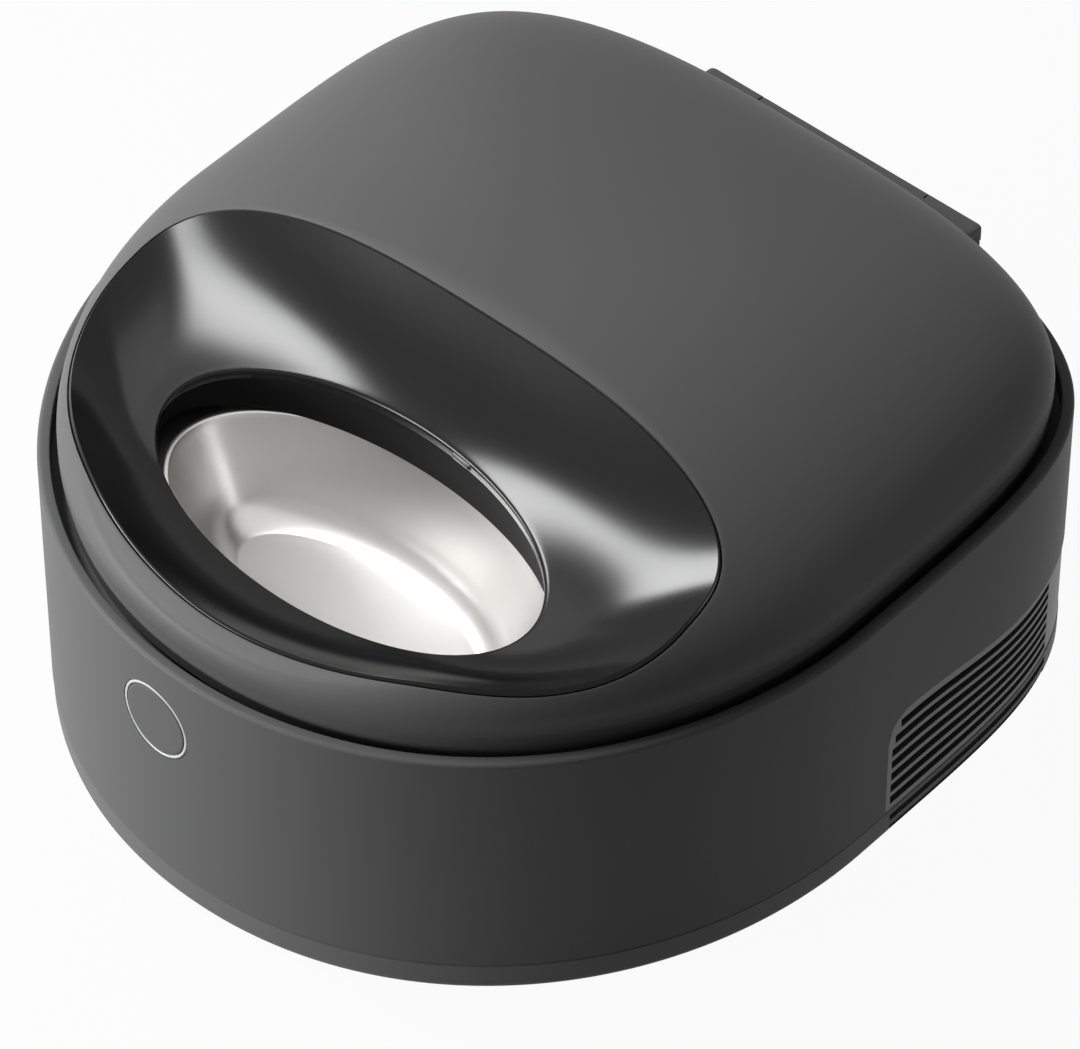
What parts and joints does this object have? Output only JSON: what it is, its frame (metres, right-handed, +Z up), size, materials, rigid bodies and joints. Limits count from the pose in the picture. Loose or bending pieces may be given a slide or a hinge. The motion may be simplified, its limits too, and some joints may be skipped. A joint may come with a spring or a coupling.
{
  "type": "pet feeder",
  "caption": "Low rounded pet feeder with a hinged domed lid, an oval funnel opening over an oval steel bowl, a turning bowl tray, a ringed front button and a side vent.",
  "frame": {"origin": "centre of the footprint, on the surface the feet stand on", "axes": "+Z up, +Y towards the hinge at the rear, +X to the right seen from the front; the feeding opening is at -Y"},
  "size_m": [0.314, 0.3404, 0.1707],
  "materials": {
    "acetal": "smooth",
    "aluminium": "plain",
    "black_plastic": "matte",
    "board_green": "solder mask",
    "bronze": "sintered",
    "ceramic": "unglazed",
    "charcoal_lid": "fine satin",
    "charcoal_shell": "satin matte",
    "dark_pan": "matte",
    "foam": "matte",
    "inner_plastic": "matte",
    "light_guide": "frosted",
    "rubber": "matte",
    "satin_black": "satin gloss",
    "stainless": "soft satin",
    "steel": "plain"
  },
  "bodies": {
    "base": {"base_pan": "dark_pan", "body_shell": "charcoal_shell", "button_board": "board_green", "button_switch": "black_plastic", "chassis_plate": "inner_plastic", "chassis_screw_front_left": "steel", "chassis_screw_front_right": "steel", "chassis_screw_rear_left": "steel", "chassis_screw_rear_right": "steel", "cold_plate": "aluminium", "cold_tub": "inner_plastic", "cooling_tile": "ceramic", "fan_frame": "black_plastic", "foam_cup": "foam", "foot_front_left": "rubber", "foot_front_right": "rubber", "foot_rear_left": "rubber", "foot_rear_right": "rubber", "gear_motor": "steel", "grille_insert": "black_plastic", "heat_sink": "aluminium", "hinge_bracket": "charcoal_shell", "hinge_pin": "steel", "lid_gasket": "rubber", "light_ring": "light_guide", "main_board": "board_green", "motor_bracket": "steel", "pan_screw_front_left": "steel", "pan_screw_front_right": "steel", "pan_screw_rear_left": "steel", "pan_screw_rear_right": "steel", "power_inlet": "black_plastic", "spindle_bush": "bronze"},
    "lid": {"lid_shell": "charcoal_lid", "funnel_bezel": "satin_black", "lid_liner": "inner_plastic", "sensor_window": "satin_black", "sensor_board": "board_green", "liner_screw_front_left": "steel", "liner_screw_front_right": "steel", "liner_screw_rear_left": "steel", "liner_screw_rear_right": "steel"},
    "carousel": {"drive_spindle": "steel", "spindle_gear": "acetal", "carousel_tray": "inner_plastic", "food_bowl_front": "stainless", "food_bowl_right": "stainless", "food_bowl_left": "stainless", "tray_grip": "black_plastic"},
    "pinion": {"motor_pinion": "acetal", "motor_shaft": "steel"},
    "fan": {"fan_rotor": "black_plastic"},
    "button": {"front_button": "charcoal_shell"}
  },
  "joints": [
    {"name": "lid_hinge", "type": "hinge", "parent": "base", "child": "lid", "pos_m": [0, 0.16352, 0.1072], "axis": [-1, 0, 0], "range_deg": [0, 80]},
    {"name": "carousel_turn", "type": "hinge", "parent": "base", "child": "carousel", "pos_m": [0, 0.00682, 0.0463], "axis": [0, 0, 1], "continuous": true},
    {"name": "pinion_turn", "type": "hinge", "parent": "base", "child": "pinion", "pos_m": [-0.03625, 0.00682, 0.0463], "axis": [0, 0, 1], "continuous": true},
    {"name": "fan_spin", "type": "hinge", "parent": "base", "child": "fan", "pos_m": [0.13269, 0.06882, 0.034], "axis": [1, 0, 0], "continuous": true},
    {"name": "button_press", "type": "slide", "parent": "base", "child": "button", "axis": [0, 1, 0], "range_m": [0, 0.001], "stiffness_N_per_m": 800}
  ],
  "couplings": [
    {"joint": "pinion_turn", "follows": "carousel_turn", "ratio": -3}
  ]
}
